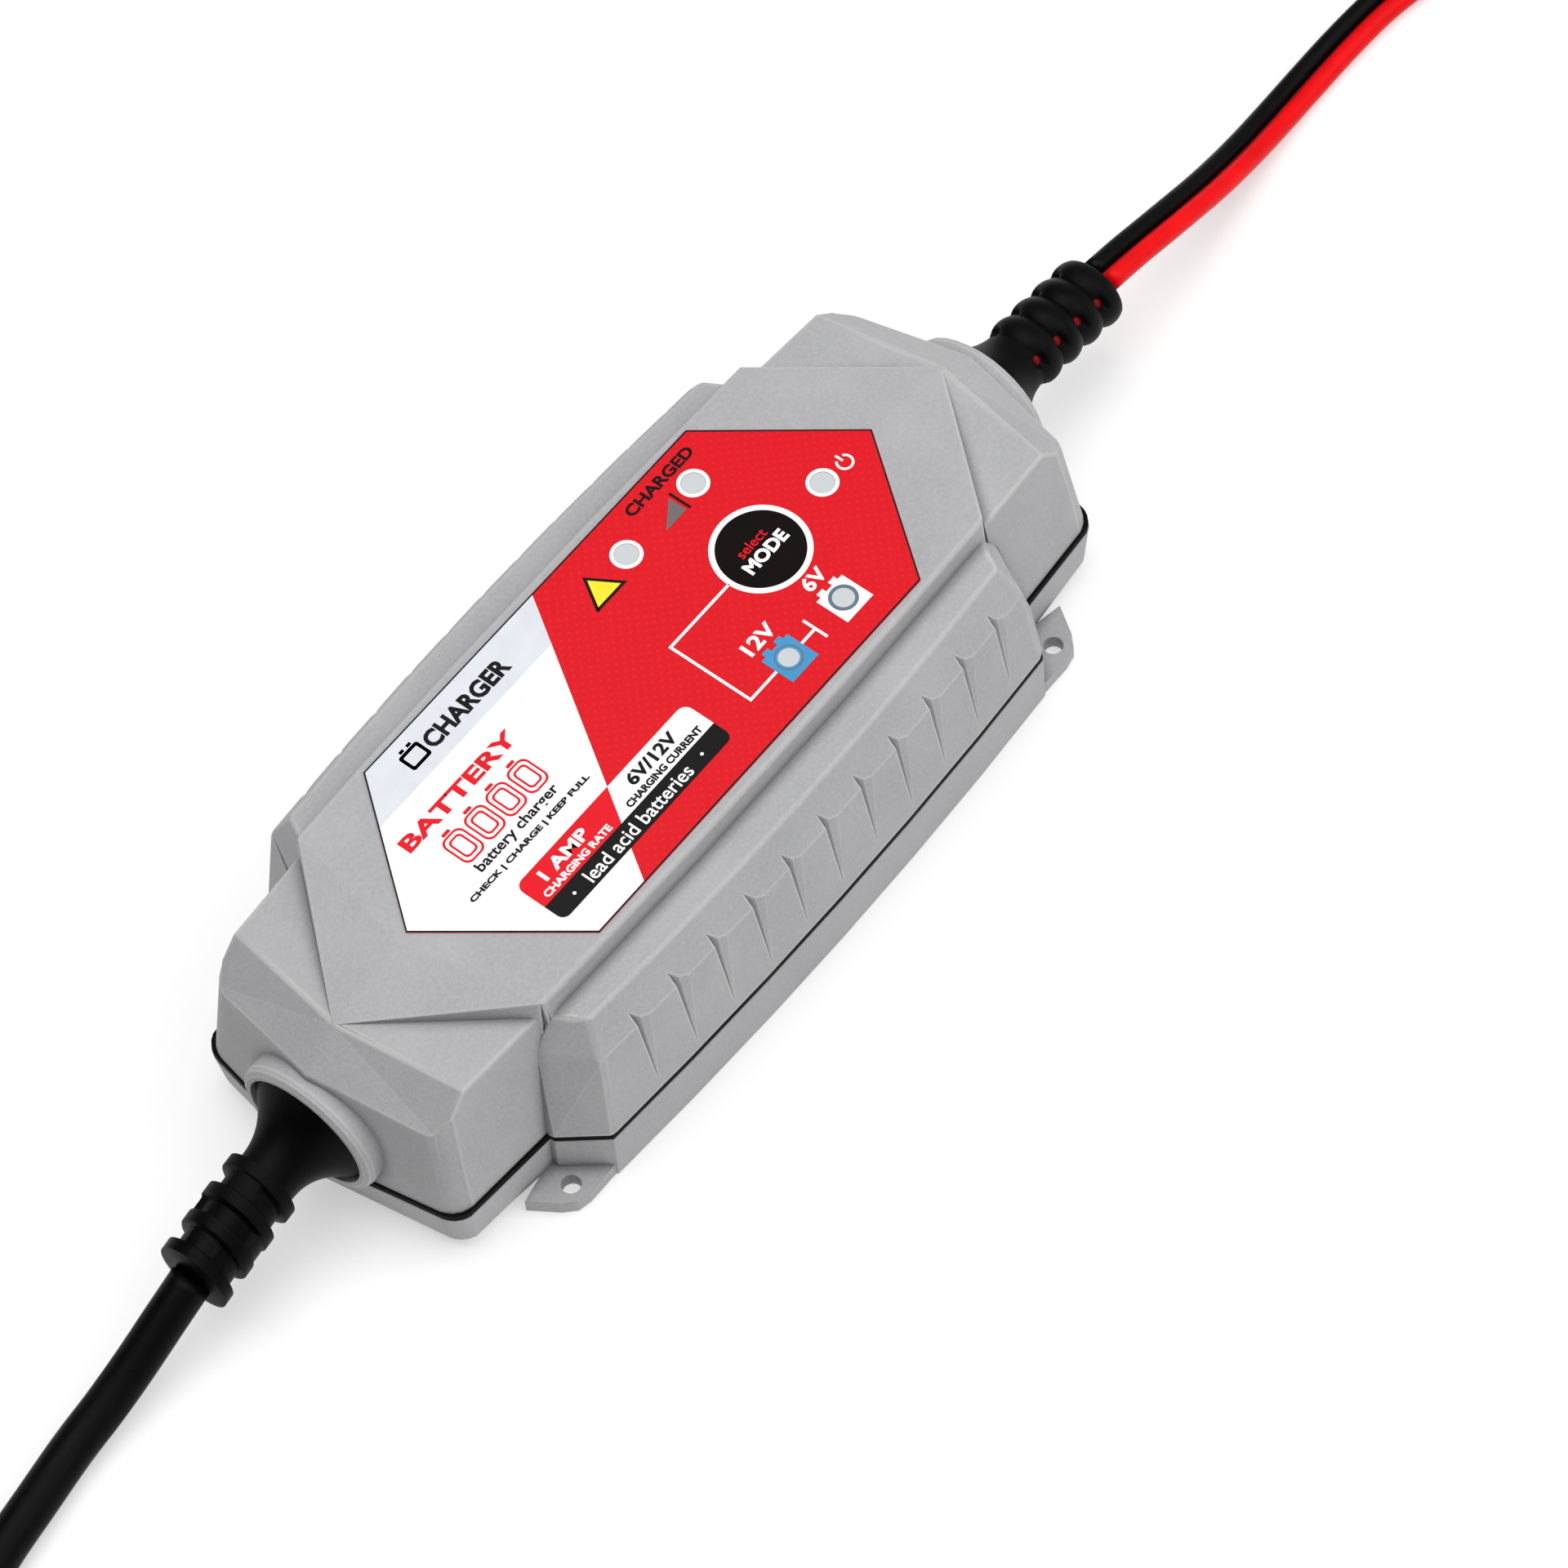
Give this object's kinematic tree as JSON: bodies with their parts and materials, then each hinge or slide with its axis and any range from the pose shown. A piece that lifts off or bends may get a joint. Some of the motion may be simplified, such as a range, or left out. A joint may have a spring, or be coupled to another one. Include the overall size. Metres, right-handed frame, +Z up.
{
  "type": "car battery charger",
  "caption": "Sealed car battery charger: a faceted grey case with a membrane panel, a mains lead with a plug and a red and black lead with battery clips.",
  "frame": {"origin": "middle of the case's underside, on the surface it stands on", "axes": "+X along the case towards the battery lead, +Z up out of the panel, +Y to the far long side"},
  "size_m": [0.5568, 0.098, 0.0412],
  "materials": {
    "case_plastic": "light grey, fine moulded texture",
    "seal_rubber": "black seal in the seam",
    "panel_film": "printed membrane panel, red and white",
    "button_film": "black button cap",
    "plunger_plastic": "white switch plunger",
    "lamp_lens": "clear lamp window",
    "board": "green circuit board",
    "black_plastic": "black moulded plastic",
    "led_body": "white lamp chip",
    "screw_steel": "zinc-plated steel",
    "transformer_tape": "yellow tape over a ferrite core",
    "capacitor_sleeve": "dark blue sleeve",
    "ferrite": "ferrite ring with windings",
    "fuse_glass": "glass tube with metal caps",
    "heat_sink_metal": "extruded aluminium",
    "cord_rubber": "black cable sheath and boots",
    "wire_red": "red wire insulation",
    "wire_black": "black wire insulation",
    "pin_brass": "nickel over brass contact pins",
    "clip_red": "red insulated clip lever with a steel jaw",
    "clip_black": "black insulated clip lever with a steel jaw",
    "clip_steel": "zinc-plated steel"
  },
  "bodies": {
    "charger": {"base_shell": "case_plastic", "battery_boot": "cord_rubber", "battery_coil": "cord_rubber", "battery_lead_black": "wire_black", "battery_lead_red": "wire_red", "battery_lead_tail_black": "wire_black", "battery_lead_tail_red": "wire_red", "black_clip_fixed_jaw": "clip_black", "black_clip_pin": "clip_steel", "black_clip_spring": "clip_steel", "board_screw_1": "screw_steel", "board_screw_2": "screw_steel", "board_screw_3": "screw_steel", "board_screw_4": "screw_steel", "bridge_rectifier": "black_plastic", "case_screw_1": "screw_steel", "case_screw_2": "screw_steel", "case_screw_3": "screw_steel", "case_screw_4": "screw_steel", "front_label": "panel_film", "heat_sink": "heat_sink_metal", "led_charged": "led_body", "led_fault": "led_body", "led_power": "led_body", "led_six_volt": "led_body", "led_twelve_volt": "led_body", "light_pipe_charged": "lamp_lens", "light_pipe_fault": "lamp_lens", "light_pipe_power": "lamp_lens", "light_pipe_six_volt": "lamp_lens", "light_pipe_twelve_volt": "lamp_lens", "line_choke": "ferrite", "line_fuse": "fuse_glass", "main_board": "board", "mains_boot": "cord_rubber", "mains_capacitor": "capacitor_sleeve", "mains_coil": "cord_rubber", "mains_lead": "cord_rubber", "mains_lead_tail": "cord_rubber", "microcontroller": "black_plastic", "output_capacitor": "capacitor_sleeve", "panel_board": "board", "pin_header": "black_plastic", "plug_body": "cord_rubber", "plug_pin_1": "pin_brass", "plug_pin_2": "pin_brass", "power_transistor": "black_plastic", "red_clip_fixed_jaw": "clip_red", "red_clip_pin": "clip_steel", "red_clip_spring": "clip_steel", "seam_seal_left": "seal_rubber", "seam_seal_right": "seal_rubber", "tact_switch": "black_plastic", "top_cover": "case_plastic", "transformer": "transformer_tape"},
    "button": {"mode_button": "button_film", "switch_plunger": "plunger_plastic"},
    "red_lever": {"red_clip_moving_jaw": "clip_red"},
    "black_lever": {"black_clip_moving_jaw": "clip_black"}
  },
  "joints": [
    {"name": "mode_button_press", "type": "slide", "parent": "charger", "child": "button", "axis": [0, 0, -1], "range_m": [0, 0.0005], "stiffness_N_per_m": 800, "springref_m": -0.0005},
    {"name": "red_clip_open", "type": "hinge", "parent": "charger", "child": "red_lever", "pos_m": [0.246, -0.0084, 0.0191], "axis": [0, 0, 1], "range_deg": [0, 20], "stiffness_Nm_per_rad": 0.3, "springref_deg": -28.65},
    {"name": "black_clip_open", "type": "hinge", "parent": "charger", "child": "black_lever", "pos_m": [0.23, 0.0324, 0.0191], "axis": [0, 0, 1], "range_deg": [0, 20], "stiffness_Nm_per_rad": 0.3, "springref_deg": -28.65}
  ]
}
